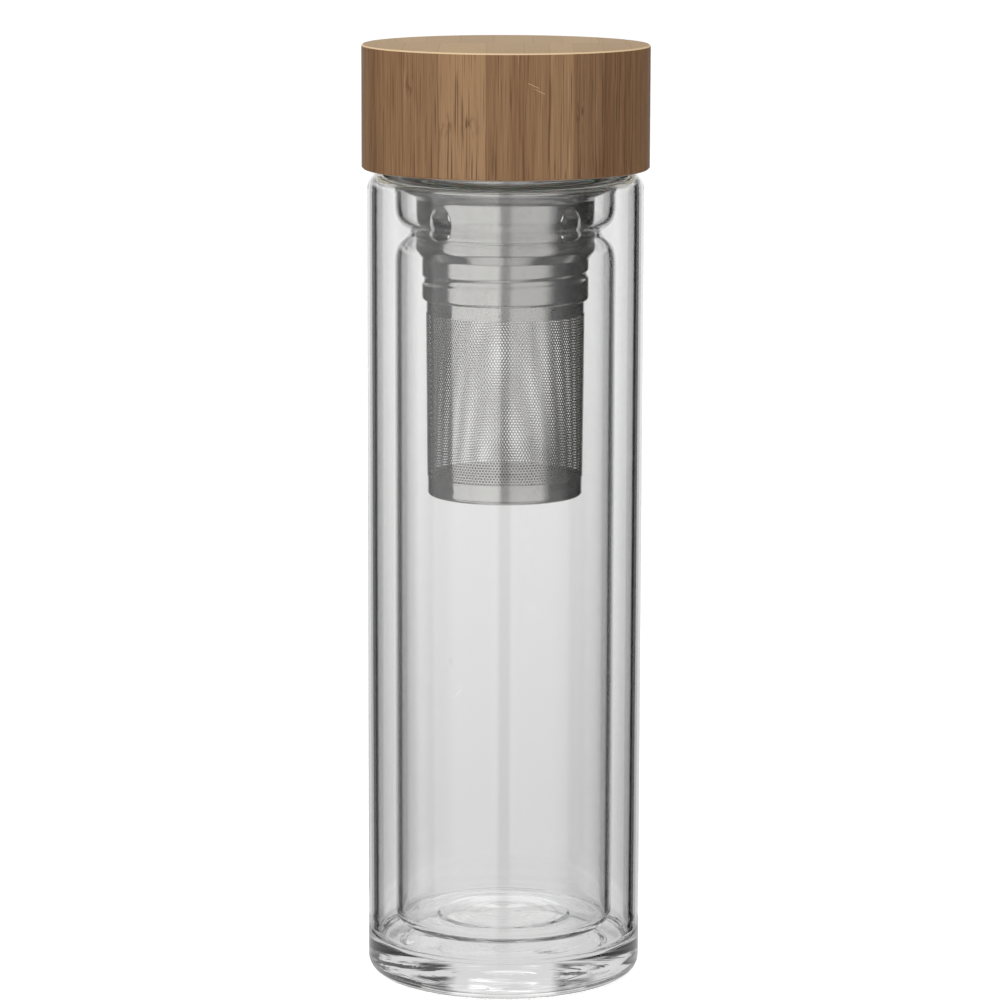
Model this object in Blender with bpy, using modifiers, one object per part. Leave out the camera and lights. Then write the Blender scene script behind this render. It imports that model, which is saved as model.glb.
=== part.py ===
# Infuser water bottle: a double-walled glass bottle with a screwed bamboo cap and a
# steel tea infuser that hangs in its neck. Lengths are in metres and +Z is up. The
# origin is the centre of the face that the bottle stands on.

import math

import bmesh
import bpy

# Overall sizes
overall_height = 0.2300
body_diameter = 0.0674
cap_overhang = 0.0013
cap_height = 0.0300
cap_gap = 0.0004

# Gap between pieces that touch, and how far a cut runs past what it cuts
seat_gap = 0.0003
overrun = 0.0020

# Outer glass
outer_wall = 0.0023
base_thickness = 0.0085
shoulder_round = 0.0045
foot_round = 0.0035
floor_round = 0.0030
foot_ring_width = 0.0042
foot_recess = 0.0008

# Inner glass: a flask with a waist that centres the infuser, and a straight neck
air_gap = 0.0045
base_gap = 0.0037
flask_wall = 0.0014
flask_floor = 0.0018
flask_round = 0.0036
floor_dome = 0.0009
neck_wall = 0.0025
neck_height = 0.0128
neck_taper_height = 0.0026
rim_round = 0.0008
waist_height = 0.0084
waist_drop = 0.0154
waist_clearance = 0.00035

# Infuser collar, drawn from one steel sheet
sheet = 0.0004
cup_clearance = 0.0005
flange_overhang = 0.0020
flange_bend = 0.0010
cup_depth = 0.0164
flare_height = 0.0032
collar_room = 0.00375
collar_length = 0.0135
step_height = 0.0024
step_inset = 0.0014
skirt_length = 0.0102
hem_round = 0.0012
hem_turn = math.radians(50)
port_width = 0.0074
port_height = 0.0096
port_count = 4
first_port_turn = math.radians(45)

# Infuser basket
thread_room = 0.00065
basket_drop = 0.0481
basket_taper = 0.00035
rim_engagement = 0.0091
bottom_round = 0.0014
bottom_lip = 0.0022
top_margin = 0.0030
bottom_margin = 0.0032
web_width = 0.0020
hole_columns = 20
hole_rows = 7

# Flange seal, cap gasket, cap liner and bamboo cap
seal_lip = 0.0009
seal_rim = 0.0009
gasket_thickness = 0.0020
gasket_width = 0.0055
cap_thread_room = 0.0013
liner_wall = 0.0016
liner_recess = 0.0005
cap_top_chamfer = 0.0009
cap_bottom_chamfer = 0.0004

# Facets round a turned piece, along a round edge and over the waist
turn_steps = 40
round_steps = 3
waist_steps = 6
port_steps = 16

# Radii that follow from the sizes above
body_radius = body_diameter / 2
cavity_radius = body_radius - outer_wall
flask_radius = cavity_radius - air_gap
bore_radius = flask_radius - flask_wall
neck_radius = bore_radius + neck_wall
shoulder_hole_radius = neck_radius + seat_gap
cup_radius = bore_radius - cup_clearance
collar_radius = bore_radius - collar_room
waist_radius = collar_radius + waist_clearance
skirt_radius = collar_radius - step_inset
basket_radius = skirt_radius - sheet - thread_room
basket_foot_radius = basket_radius - basket_taper
flange_radius = cup_radius + flange_overhang
seal_radius = flange_radius + seat_gap + seal_rim
liner_bore_radius = neck_radius + cap_thread_room
liner_radius = liner_bore_radius + liner_wall
cap_radius = body_radius + cap_overhang
cap_bore_radius = liner_radius + seat_gap

# Heights that follow, from the shoulder of the glass up to the cap
cap_bottom_z = overall_height - cap_height
shoulder_z = cap_bottom_z - cap_gap
ceiling_z = shoulder_z - outer_wall
rim_z = shoulder_z + neck_height
seal_z = rim_z + seat_gap
flange_z = seal_z + seal_lip + seat_gap
seal_top_z = flange_z + sheet + seat_gap + seal_lip
gasket_z = seal_top_z + seat_gap
gasket_top_z = gasket_z + gasket_thickness
liner_ceiling_z = gasket_top_z + seat_gap
liner_top_z = liner_ceiling_z + liner_wall
cap_ceiling_z = liner_top_z + seat_gap

# Heights that follow, from the flange down the infuser and the flask
flare_top_z = flange_z - cup_depth
flare_foot_z = flare_top_z - flare_height
step_top_z = flare_foot_z - collar_length
step_foot_z = step_top_z - step_height
skirt_foot_z = step_foot_z - skirt_length
hem_z = skirt_foot_z + hem_round * math.sin(hem_turn)
port_z = step_top_z + collar_length / 2
basket_foot_z = skirt_foot_z - basket_drop
basket_rim_z = skirt_foot_z + rim_engagement
wall_foot_z = basket_foot_z + bottom_round + seat_gap
waist_z = shoulder_z - waist_drop
flask_foot_z = base_thickness + base_gap
flask_floor_z = flask_foot_z + flask_floor

# Directions in the plane of a profile
right_turn = 0.0
up_turn = math.pi / 2
down_turn = -math.pi / 2


def clear_scene():
    for old in list(bpy.data.objects):
        bpy.data.objects.remove(old, do_unlink=True)


def make_collection(name):
    collection = bpy.data.collections.new(name)
    bpy.context.scene.collection.children.link(collection)
    return collection


def make_material(name, colour, roughness, metallic=0.0, transmission=0.0):
    material = bpy.data.materials.new(name)
    material.use_nodes = True
    shader = material.node_tree.nodes["Principled BSDF"]
    shader.inputs["Base Color"].default_value = (*colour, 1.0)
    shader.inputs["Roughness"].default_value = roughness
    shader.inputs["Metallic"].default_value = metallic
    shader.inputs["Transmission Weight"].default_value = transmission
    material.diffuse_color = (*colour, 1.0)
    return material


def add_object(name, mesh, collection, material=None):
    piece = bpy.data.objects.new(name, mesh)
    collection.objects.link(piece)
    if material:
        mesh.materials.append(material)
    return piece


def arc(centre, radius, start, end, steps):
    """Points of a profile's round edge, from one direction to another."""
    points = []
    for step in range(steps + 1):
        turn = start + (end - start) * step / steps
        x = centre[0] + radius * math.cos(turn)
        z = centre[1] + radius * math.sin(turn)
        points.append((x, z))
    return points


def waist_points(radius, depth, upwards):
    """Points of one face of the waist, a smooth bead pressed in by depth."""
    points = []
    for step in range(waist_steps + 1):
        share = 2 * step / waist_steps - 1
        inset = depth * (1 + math.cos(math.pi * share)) / 2
        points.append((radius - inset, waist_z + share * waist_height / 2))
    return points if upwards else points[::-1]


def turned(name, profile, collection, material, closed=False):
    """A piece turned about Z from a profile that runs down its outer side."""
    mesh = bpy.data.meshes.new(name)
    vertices = [(x, 0, z) for x, z in profile]
    edges = [(index, index + 1) for index in range(len(profile) - 1)]
    if closed:
        edges.append((len(profile) - 1, 0))
    mesh.from_pydata(vertices, edges, [])
    piece = add_object(name, mesh, collection, material)
    screw = piece.modifiers.new("Turn", "SCREW")
    screw.axis = "Z"
    screw.angle = 2 * math.pi
    screw.steps = turn_steps
    screw.render_steps = turn_steps
    screw.use_merge_vertices = True
    screw.merge_threshold = 0.00001
    screw.use_smooth_shade = True
    return piece


def thicken(piece):
    """Give an open skin the thickness of the steel sheet, on its inner side."""
    solidify = piece.modifiers.new("Sheet", "SOLIDIFY")
    solidify.thickness = sheet
    solidify.offset = -1
    solidify.use_even_offset = True


def make_outer_glass(collection, material):
    """Outer wall with its rounded shoulder, open at the neck, and the heavy base."""
    inner_shoulder_round = shoulder_round - outer_wall
    profile = [(0, base_thickness)]
    floor_centre = (cavity_radius - floor_round, base_thickness + floor_round)
    profile += arc(floor_centre, floor_round, down_turn, right_turn, round_steps)
    inner_centre = (cavity_radius - inner_shoulder_round, ceiling_z - inner_shoulder_round)
    profile += arc(inner_centre, inner_shoulder_round, right_turn, up_turn, round_steps)
    profile += [(shoulder_hole_radius, ceiling_z), (shoulder_hole_radius, shoulder_z)]
    shoulder_centre = (body_radius - shoulder_round, shoulder_z - shoulder_round)
    profile += arc(shoulder_centre, shoulder_round, up_turn, right_turn, round_steps + 1)
    foot_centre = (body_radius - foot_round, foot_round)
    profile += arc(foot_centre, foot_round, right_turn, down_turn, round_steps)
    foot_inside = body_radius - foot_round - foot_ring_width
    profile += [(foot_inside, 0), (foot_inside - foot_recess, foot_recess), (0, foot_recess)]
    return turned("outer_glass", profile, collection, material)


def make_inner_glass(collection, material):
    """Flask with its waist and neck. Its floor rises a little towards the middle."""
    waist_depth = bore_radius - waist_radius
    inner_round = flask_round - flask_wall
    taper_foot_z = ceiling_z - seat_gap - neck_taper_height
    profile = [(0, flask_floor_z + floor_dome)]
    profile += [((bore_radius - inner_round) / 2, flask_floor_z + floor_dome / 2)]
    floor_centre = (bore_radius - inner_round, flask_floor_z + inner_round)
    profile += arc(floor_centre, inner_round, down_turn, right_turn, round_steps)
    profile += waist_points(bore_radius, waist_depth, upwards=True)
    inner_rim_centre = (bore_radius + rim_round, rim_z - rim_round)
    profile += arc(inner_rim_centre, rim_round, math.pi, up_turn, round_steps - 1)
    outer_rim_centre = (neck_radius - rim_round, rim_z - rim_round)
    profile += arc(outer_rim_centre, rim_round, up_turn, right_turn, round_steps - 1)
    profile += [(neck_radius, taper_foot_z + neck_taper_height), (flask_radius, taper_foot_z)]
    profile += waist_points(flask_radius, waist_depth, upwards=False)
    foot_centre = (flask_radius - flask_round, flask_foot_z + flask_round)
    profile += arc(foot_centre, flask_round, right_turn, down_turn, round_steps)
    profile += [(0, flask_foot_z)]
    return turned("inner_glass", profile, collection, material)


def make_collar(collection, cutters, material):
    """Flange, cup, flare, collar with its ports, step and skirt, in one skin."""
    bend_centre = (cup_radius + flange_bend, flange_z - flange_bend)
    profile = [(flange_radius, flange_z)]
    profile += arc(bend_centre, flange_bend, up_turn, math.pi, round_steps - 1)
    profile += [(cup_radius, flare_top_z), (collar_radius, flare_foot_z)]
    profile += [(collar_radius, step_top_z), (skirt_radius, step_foot_z)]
    hem_centre = (skirt_radius - hem_round, hem_z)
    profile += arc(hem_centre, hem_round, right_turn, -hem_turn, round_steps - 1)
    collar = turned("infuser_collar", profile, collection, material)
    thicken(collar)
    for number in range(port_count):
        turn = first_port_turn + number * 2 * math.pi / port_count
        cutter = make_port_cutter("port_cutter_%d" % (number + 1), turn, cutters)
        cut = collar.modifiers.new("Port %d" % (number + 1), "BOOLEAN")
        cut.operation = "DIFFERENCE"
        cut.solver = "EXACT"
        cut.object = cutter
    return collar


def make_port_cutter(name, turn, cutters):
    """An upright oval bar that crosses the collar's wall once, at the given turn."""
    shape = bmesh.new()
    bmesh.ops.create_cone(shape, cap_ends=True, segments=port_steps,
                          radius1=0.5, radius2=0.5, depth=1)
    mesh = bpy.data.meshes.new(name)
    shape.to_mesh(mesh)
    shape.free()
    cutter = add_object(name, mesh, cutters)
    cutter.scale = (port_height, port_width, sheet + 2 * overrun)
    cutter.rotation_euler = (0, math.pi / 2, turn)
    wall_radius = collar_radius - sheet / 2
    cutter.location = (wall_radius * math.cos(turn), wall_radius * math.sin(turn), port_z)
    cutter.hide_render = True
    cutter.display_type = "WIRE"
    return cutter


def wall_radius_at(z):
    """Outer radius of the basket wall, which narrows from the hem down to its foot."""
    share = max(0, (hem_z - z) / (hem_z - basket_foot_z))
    return basket_radius - basket_taper * share


def make_basket_wall(collection, material):
    """Perforated tube: six-sided holes in staggered rows between plain margins."""
    holes_top_z = skirt_foot_z - top_margin
    holes_foot_z = basket_foot_z + bottom_round + bottom_margin
    row_height = (holes_top_z - holes_foot_z) / (hole_rows + 1 / 3)
    zigzag = row_height / 6
    sheet_mesh = bmesh.new()
    bmesh.ops.create_grid(sheet_mesh, x_segments=2 * hole_columns,
                          y_segments=hole_rows, size=1)
    place = {}
    for corner in sheet_mesh.verts:
        column = round((corner.co.x + 1) * hole_columns)
        row = round((corner.co.y + 1) * hole_rows / 2)
        z = holes_foot_z + zigzag + row * row_height
        z += zigzag if (column + row) % 2 else -zigzag
        turn = column * math.pi / hole_columns
        radius = wall_radius_at(z)
        corner.co = (radius * math.cos(turn), radius * math.sin(turn), z)
        place[corner] = (column, row)
    # An upright edge is dropped in every other column, which leaves bricks with six
    # corners that the zigzag has already drawn out to a honeycomb.
    spare_edges = []
    for edge in sheet_mesh.edges:
        (column, row), (other_column, other_row) = [place[end] for end in edge.verts]
        if column == other_column and (column + min(row, other_row)) % 2 == 0:
            if 0 < column < 2 * hole_columns:
                spare_edges.append(edge)
    bmesh.ops.dissolve_edges(sheet_mesh, edges=spare_edges, use_verts=False)
    bmesh.ops.remove_doubles(sheet_mesh, verts=sheet_mesh.verts, dist=seat_gap / 10)
    seam_edges = [edge for edge in sheet_mesh.edges if joins_halves(edge)]
    bmesh.ops.dissolve_edges(sheet_mesh, edges=seam_edges, use_verts=False)
    bmesh.ops.recalc_face_normals(sheet_mesh, faces=sheet_mesh.faces)
    rims = [edge for edge in sheet_mesh.edges if edge.is_boundary]
    cells = list(sheet_mesh.faces)
    add_margin(sheet_mesh, rims, holes_foot_z, wall_foot_z, below=True)
    add_margin(sheet_mesh, rims, holes_top_z, basket_rim_z, below=False)
    bmesh.ops.inset_individual(sheet_mesh, faces=cells, thickness=web_width / 2,
                               use_even_offset=True)
    bmesh.ops.delete(sheet_mesh, geom=cells, context="FACES")
    bmesh.ops.recalc_face_normals(sheet_mesh, faces=sheet_mesh.faces)
    mesh = bpy.data.meshes.new("basket_wall")
    sheet_mesh.to_mesh(mesh)
    sheet_mesh.free()
    wall = add_object("basket_wall", mesh, collection, material)
    thicken(wall)
    return wall


def joins_halves(edge):
    """Whether an edge parts the two four-cornered halves of a cell at the seam."""
    return len(edge.link_faces) == 2 and all(len(face.verts) < 6 for face in edge.link_faces)


def add_margin(sheet_mesh, rims, near_z, end_z, below):
    """Carry the zigzag rim on the given side to a plain edge at end_z."""
    middle_z = (skirt_foot_z + basket_foot_z) / 2
    edges = [edge for edge in rims if (edge.verts[0].co.z < middle_z) == below]
    corners = {corner for edge in edges for corner in edge.verts}
    made = bmesh.ops.extrude_edge_only(sheet_mesh, edges=edges)["geom"]
    for corner in made:
        if isinstance(corner, bmesh.types.BMVert) and corner not in corners:
            turn = math.atan2(corner.co.y, corner.co.x)
            radius = wall_radius_at(end_z)
            corner.co = (radius * math.cos(turn), radius * math.sin(turn), end_z)


def make_basket_bottom(collection, material):
    """Pressed bottom: a round edge, a shelf under the wall and a lip inside it."""
    lip_radius = basket_foot_radius - sheet - seat_gap
    shelf_z = basket_foot_z + bottom_round
    profile = [(lip_radius, wall_foot_z + bottom_lip), (lip_radius, shelf_z)]
    edge_centre = (basket_foot_radius - bottom_round, shelf_z)
    profile += arc(edge_centre, bottom_round, right_turn, down_turn, round_steps)
    profile += [(0, basket_foot_z)]
    bottom = turned("basket_bottom", profile, collection, material)
    thicken(bottom)
    return bottom


def make_flange_seal(collection, material):
    """Silicone ring with a channel that grips the edge of the flange."""
    channel_radius = flange_radius + seat_gap
    lip_radius = cup_radius + flange_bend
    profile = [(lip_radius, seal_top_z), (seal_radius, seal_top_z)]
    profile += [(seal_radius, seal_z), (lip_radius, seal_z)]
    profile += [(lip_radius, seal_z + seal_lip), (channel_radius, seal_z + seal_lip)]
    profile += [(channel_radius, seal_top_z - seal_lip), (lip_radius, seal_top_z - seal_lip)]
    return turned("flange_seal", profile, collection, material, closed=True)


def make_cap_gasket(collection, material):
    """Flat silicone ring in the liner's ceiling, pressed onto the flange's seal."""
    outside = liner_bore_radius - seat_gap
    inside = outside - gasket_width
    profile = [(inside, gasket_top_z), (outside, gasket_top_z)]
    profile += [(outside, gasket_z), (inside, gasket_z)]
    return turned("cap_gasket", profile, collection, material, closed=True)


def make_cap_liner(collection, material):
    """Plastic cup that is glued into the bamboo and screws onto the neck."""
    foot_z = cap_bottom_z + liner_recess
    profile = [(0, liner_top_z), (liner_radius, liner_top_z), (liner_radius, foot_z)]
    profile += [(liner_bore_radius, foot_z), (liner_bore_radius, liner_ceiling_z)]
    profile += [(0, liner_ceiling_z)]
    return turned("cap_liner", profile, collection, material)


def make_bamboo_cap(collection, material):
    """Turned bamboo shell with a chamfer round its top and bottom edges."""
    profile = [(0, overall_height), (cap_radius - cap_top_chamfer, overall_height)]
    profile += [(cap_radius, overall_height - cap_top_chamfer)]
    profile += [(cap_radius, cap_bottom_z + cap_bottom_chamfer)]
    profile += [(cap_radius - cap_bottom_chamfer, cap_bottom_z)]
    profile += [(cap_bore_radius, cap_bottom_z), (cap_bore_radius, cap_ceiling_z)]
    profile += [(0, cap_ceiling_z)]
    return turned("bamboo_cap", profile, collection, material)


def carry(name, height, pieces, collection):
    """Hang pieces on an empty that stands on the axis they lift and turn about."""
    carrier = bpy.data.objects.new(name, None)
    collection.objects.link(carrier)
    carrier.location = (0, 0, height)
    for piece in pieces:
        piece.parent = carrier
        piece.location.z = -height
    return carrier


def main():
    clear_scene()
    bottle = make_collection("infuser_water_bottle")
    cutters = make_collection("cutters")

    clear_glass = make_material("clear_glass", (0.93, 0.95, 0.94), 0.02, transmission=1.0)
    flask_glass = make_material("flask_glass", (0.95, 0.96, 0.95), 0.02, transmission=1.0)
    collar_steel = make_material("collar_steel", (0.60, 0.59, 0.58), 0.22, metallic=1.0)
    basket_steel = make_material("basket_steel", (0.55, 0.54, 0.53), 0.28, metallic=1.0)
    bottom_steel = make_material("bottom_steel", (0.58, 0.57, 0.56), 0.25, metallic=1.0)
    seal_silicone = make_material("seal_silicone", (0.80, 0.80, 0.78), 0.55)
    gasket_silicone = make_material("gasket_silicone", (0.82, 0.82, 0.80), 0.55)
    liner_plastic = make_material("liner_plastic", (0.85, 0.84, 0.80), 0.40)
    bamboo = make_material("bamboo", (0.26, 0.14, 0.07), 0.50)

    make_outer_glass(bottle, clear_glass)
    make_inner_glass(bottle, flask_glass)

    collar = make_collar(bottle, cutters, collar_steel)
    seal = make_flange_seal(bottle, seal_silicone)
    wall = make_basket_wall(bottle, basket_steel)
    bottom = make_basket_bottom(bottle, bottom_steel)
    carry("collar_axis", basket_rim_z, [collar], bottle)
    carry("infuser_axis", rim_z, [seal, wall, bottom], bottle)

    gasket = make_cap_gasket(bottle, gasket_silicone)
    liner = make_cap_liner(bottle, liner_plastic)
    cap = make_bamboo_cap(bottle, bamboo)
    carry("cap_axis", rim_z, [gasket, liner, cap], bottle)


main()
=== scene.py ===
import math

import bpy
from mathutils import Euler, Matrix, Vector, noise


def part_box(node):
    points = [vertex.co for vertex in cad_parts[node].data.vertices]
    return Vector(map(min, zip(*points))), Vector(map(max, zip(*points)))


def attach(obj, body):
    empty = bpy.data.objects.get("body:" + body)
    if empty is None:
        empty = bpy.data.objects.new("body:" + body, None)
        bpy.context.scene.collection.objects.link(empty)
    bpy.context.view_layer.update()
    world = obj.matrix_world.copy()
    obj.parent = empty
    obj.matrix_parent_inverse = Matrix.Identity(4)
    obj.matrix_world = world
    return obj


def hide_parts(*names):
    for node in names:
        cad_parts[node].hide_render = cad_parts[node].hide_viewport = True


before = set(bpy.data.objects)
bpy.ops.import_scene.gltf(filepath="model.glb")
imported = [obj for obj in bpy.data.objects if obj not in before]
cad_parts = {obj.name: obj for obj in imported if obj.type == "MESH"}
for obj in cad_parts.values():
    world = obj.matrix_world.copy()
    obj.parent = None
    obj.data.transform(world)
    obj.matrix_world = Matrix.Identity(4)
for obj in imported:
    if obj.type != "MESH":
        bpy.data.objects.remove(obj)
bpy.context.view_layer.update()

# Glass bottle
# One fused vessel of clear borosilicate: a drawn outer tube with a heavy pressed base,
# and a flask inside it whose waist centres the infuser. The air between them is sealed in,
# so the mesh has an outer skin and a separate skin round that hollow.

outer_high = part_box("outer_glass")[1]
flask_low, flask_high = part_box("inner_glass")
body_radius = outer_high[0]
shoulder_z = outer_high[2]
neck_radius = flask_high[0]
rim_z = flask_high[2]
flask_foot_z = flask_low[2]
outer_wall = 0.0023
flask_wall = 0.0014
air_gap = 0.0045
cavity_radius = body_radius - outer_wall
flask_radius = cavity_radius - air_gap
bore_radius = flask_radius - flask_wall
base_thickness = 0.0085
foot_round = 0.0035
foot_inside_radius = 0.0260
foot_recess = 0.0008
recess_round = 0.0006
shoulder_round = 0.0045
neck_root_round = 0.0008
rim_round = 0.0011
cavity_floor_round = 0.0030
cavity_top_round = 0.0022
flask_top_round = 0.0012
flask_round = 0.0036
flask_floor = 0.0018
floor_pad_radius = 0.0161
floor_pad_rise = 0.0004
floor_middle_rise = 0.0009
floor_pad_round = 0.0016
waist_z = 0.1844
waist_reach = 0.0078
waist_depth = 0.0034
waist_pinch = 0.0024
waist_steps = 60
glass_columns = 256
neck_thread_low = 0.2028
neck_thread_lead = 0.0050
neck_thread_turns = 1.35
neck_thread_width = 0.0022
neck_thread_height = 0.0010
neck_thread_fade = 0.10
thread_row = 0.00022
sharp_angle = math.radians(38)
base_row = 0.0011
wave_scale = 95.0
wave_height = 0.00020
floor_wave_share = 0.25
ring_wave_scale = 620.0
ring_wave_slant = 0.04


def rounded(corners, steps=8):
    """Points of a profile through corners given as (radius, height, rounding)."""
    points = []
    for index, (x, z, rounding) in enumerate(corners):
        corner = Vector((x, z))
        if rounding == 0 or index in (0, len(corners) - 1):
            points.append((x, z))
            continue
        back = (Vector(corners[index - 1][:2]) - corner).normalized()
        ahead = (Vector(corners[index + 1][:2]) - corner).normalized()
        half = back.angle(ahead) / 2
        centre = corner + (back + ahead).normalized() * rounding / math.sin(half)
        first = corner + back * rounding / math.tan(half) - centre
        last = corner + ahead * rounding / math.tan(half) - centre
        start = math.atan2(first.y, first.x)
        sweep = math.remainder(math.atan2(last.y, last.x) - start, math.tau)
        for step in range(steps + 1):
            turn = start + sweep * step / steps
            points.append((centre.x + rounding * math.cos(turn),
                           centre.y + rounding * math.sin(turn)))
    return points


def waist_inset(level):
    """How far the flask's waist is pinched in, at a height above its middle."""
    fade = math.cos(math.pi / 2 * min(1.0, abs(level) / waist_reach)) ** 2
    return waist_depth * fade / (1 + (level / waist_pinch) ** 2)


def waist_bead(wall, upwards):
    """Corners of a face of the waist, which lies one wall inside the flask's outer face."""
    corners = []
    for step in range(waist_steps + 1):
        level = (2 * step / waist_steps - 1) * waist_reach
        near = waist_reach / 1000
        slope = (waist_inset(level - near) - waist_inset(level + near)) / (2 * near)
        lean = math.atan(slope)
        corners.append((flask_radius - waist_inset(level) - wall * math.cos(lean),
                        waist_z + level + wall * math.sin(lean), 0))
    return corners if upwards else corners[::-1]


def with_rows(points, low, high, row):
    """The same profile, with the stretch between two heights cut into fine rows."""
    finer = [points[0]]
    for (x, z), (next_x, next_z) in zip(points, points[1:]):
        if low <= min(z, next_z) and max(z, next_z) <= high:
            parts = max(1, round(math.dist((x, z), (next_x, next_z)) / row))
        else:
            parts = 1
        for part in range(1, parts + 1):
            share = part / parts
            finer.append((x + (next_x - x) * share, z + (next_z - z) * share))
    return finer


def in_scene(name, data):
    """A new object in the scene."""
    item = bpy.data.objects.new(name, data)
    bpy.context.scene.collection.objects.link(item)
    return item


def mesh_piece(name, points, faces, edges=()):
    """A piece made of plain points and faces."""
    mesh = bpy.data.meshes.new(name)
    mesh.from_pydata(points, edges, faces)
    return in_scene(name, mesh)


def turned(name, profiles, columns, closed=False):
    """A piece turned about Z from profiles that run down its outer side."""
    points, edges = [], []
    for profile in profiles:
        first = len(points)
        points += [(x, 0, z) for x, z in profile]
        edges += [(index, index + 1) for index in range(first, len(points) - 1)]
        if closed:
            edges.append((len(points) - 1, first))
    piece = mesh_piece(name, points, [], edges)
    screw = piece.modifiers.new("turn", "SCREW")
    screw.axis = "Z"
    screw.angle = math.tau
    screw.steps = columns
    screw.render_steps = columns
    screw.use_merge_vertices = True
    screw.merge_threshold = 0.000002
    return piece


def made_plain(piece, material):
    """Turn a piece and its modifiers into a plain mesh with soft and sharp edges."""
    ready = piece.evaluated_get(bpy.context.evaluated_depsgraph_get())
    mesh = bpy.data.meshes.new_from_object(ready)
    mesh.name = piece.name
    piece.modifiers.clear()
    piece.data = mesh
    mesh.materials.clear()
    mesh.materials.append(material)
    mesh.polygons.foreach_set("material_index", [0] * len(mesh.polygons))
    mesh.polygons.foreach_set("use_smooth", [True] * len(mesh.polygons))
    mesh.set_sharp_from_angle(angle=sharp_angle)
    return piece


class Wire:
    """An output of a node that can stand in sums, so that formulas read as written."""

    def __init__(self, socket):
        self.socket = socket
        self.tree = socket.id_data

    def __add__(self, other):
        return reckon("ADD", self, other)

    def __sub__(self, other):
        return reckon("SUBTRACT", self, other)

    def __rsub__(self, other):
        return reckon("SUBTRACT", other, self)

    def __mul__(self, other):
        return reckon("MULTIPLY", self, other)

    def __truediv__(self, other):
        return reckon("DIVIDE", self, other)

    def __gt__(self, other):
        return reckon("GREATER_THAN", self, other)

    def __lt__(self, other):
        return reckon("LESS_THAN", self, other)

    def __abs__(self):
        return reckon("ABSOLUTE", self)


class Made:
    """A node whose outputs are taken by name or number, as wires."""

    def __init__(self, node):
        self.node = node

    def __getitem__(self, key):
        return Wire(self.node.outputs[key])


def feed(node, values):
    """Set inputs of a node, each to a plain value or to what comes over a wire."""
    for key, value in values.items():
        if isinstance(value, Wire):
            value.tree.links.new(value.socket, node.inputs[key])
        else:
            node.inputs[key].default_value = value


def add_node(tree, kind, values=None, **settings):
    """A new node with its settings and its inputs."""
    node = tree.nodes.new(kind)
    for name, value in settings.items():
        setattr(node, name, value)
    feed(node, values or {})
    return Made(node)


def tree_of(values):
    """The tree that a sum belongs to, from the first wire in it."""
    return next(value.tree for value in values if isinstance(value, Wire))


def reckon(operation, *values, clamp=False):
    """The result of one sum. It works in shader and geometry trees."""
    return add_node(tree_of(values), "ShaderNodeMath", dict(enumerate(values)),
                    operation=operation, use_clamp=clamp)[0]


def greatest(masks):
    """One mask out of several, the strongest at each spot."""
    first, *others = masks
    for mask in others:
        first = reckon("MAXIMUM", first, mask)
    return first


def spread(value, low, high, to_low=0.0, to_high=1.0, smooth=False):
    """A value moved from one range to another and held inside it."""
    return add_node(value.tree, "ShaderNodeMapRange",
                    {"Value": value, "From Min": low, "From Max": high,
                     "To Min": to_low, "To Max": to_high},
                    interpolation_type="SMOOTHSTEP" if smooth else "LINEAR")["Result"]


def three_parts(place):
    """The three parts of a vector."""
    split = add_node(place.tree, "ShaderNodeSeparateXYZ", {"Vector": place})
    return split["X"], split["Y"], split["Z"]


def vector(x, y, z):
    """A vector from its three parts."""
    return add_node(tree_of((x, y, z)), "ShaderNodeCombineXYZ", {"X": x, "Y": y, "Z": z})[0]


def on_vectors(operation, *values, output="Vector"):
    """The result of one sum on vectors."""
    return add_node(tree_of(values), "ShaderNodeVectorMath", dict(enumerate(values)),
                    operation=operation)[output]


def geometry_tree(name, numbers, counts=()):
    """An empty geometry tree, its inputs, and the place of a point in it."""
    tree = bpy.data.node_groups.new(name, "GeometryNodeTree")
    sockets = [("Geometry", "Geometry")]
    sockets += [(label, "Int") for label in counts]
    sockets += [(label, "Float") for label in numbers]
    sockets += [("Material", "Material")]
    for label, kind in sockets:
        tree.interface.new_socket(label, in_out="INPUT", socket_type="NodeSocket" + kind)
    tree.interface.new_socket("Geometry", in_out="OUTPUT", socket_type="NodeSocketGeometry")
    place = add_node(tree, "GeometryNodeInputPosition")[0]
    return tree, add_node(tree, "NodeGroupInput"), place


def end_tree(tree, given, geometry):
    """End a geometry tree: instances made real, the material set, and the output."""
    whole = add_node(tree, "GeometryNodeRealizeInstances", {"Geometry": geometry})[0]
    dressed = add_node(tree, "GeometryNodeSetMaterial",
                       {"Geometry": whole, "Material": given["Material"]})[0]
    add_node(tree, "NodeGroupOutput", {0: dressed})


def thread_tree():
    """Geometry nodes that push a turned wall out or in along a screw thread."""
    tree, given, place = geometry_tree(
        "screw_thread", ("Foot", "Lead", "Turns", "Width", "Height", "Fade", "Low", "High",
                         "Inner Radius"))
    x, y, z = three_parts(place)
    flat = vector(x, y, 0.0)
    radius = on_vectors("LENGTH", flat, output="Value")
    outward = on_vectors("NORMALIZE", flat)
    share = reckon("FRACT", reckon("ARCTAN2", y, x) / math.tau + 1.0)
    rise = z - given["Foot"]
    along = share + reckon("ROUND", rise / given["Lead"] - share)
    away = abs(rise - along * given["Lead"])
    crest = spread(away / given["Width"], 0.5, 0.12, smooth=True)
    end = reckon("MINIMUM", along, given["Turns"] - along)
    ends = spread(end / given["Fade"], 0.0, 1.0, smooth=True)
    chosen = (z > given["Low"]) * (z < given["High"]) * (radius > given["Inner Radius"])
    offset = add_node(tree, "ShaderNodeVectorMath",
                      {0: outward, "Scale": crest * ends * (given["Height"] * chosen)},
                      operation="SCALE")[0]
    end_tree(tree, given, add_node(tree, "GeometryNodeSetPosition",
                                   {"Geometry": given["Geometry"], "Offset": offset})[0])
    return tree


screw_thread = thread_tree()


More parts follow.
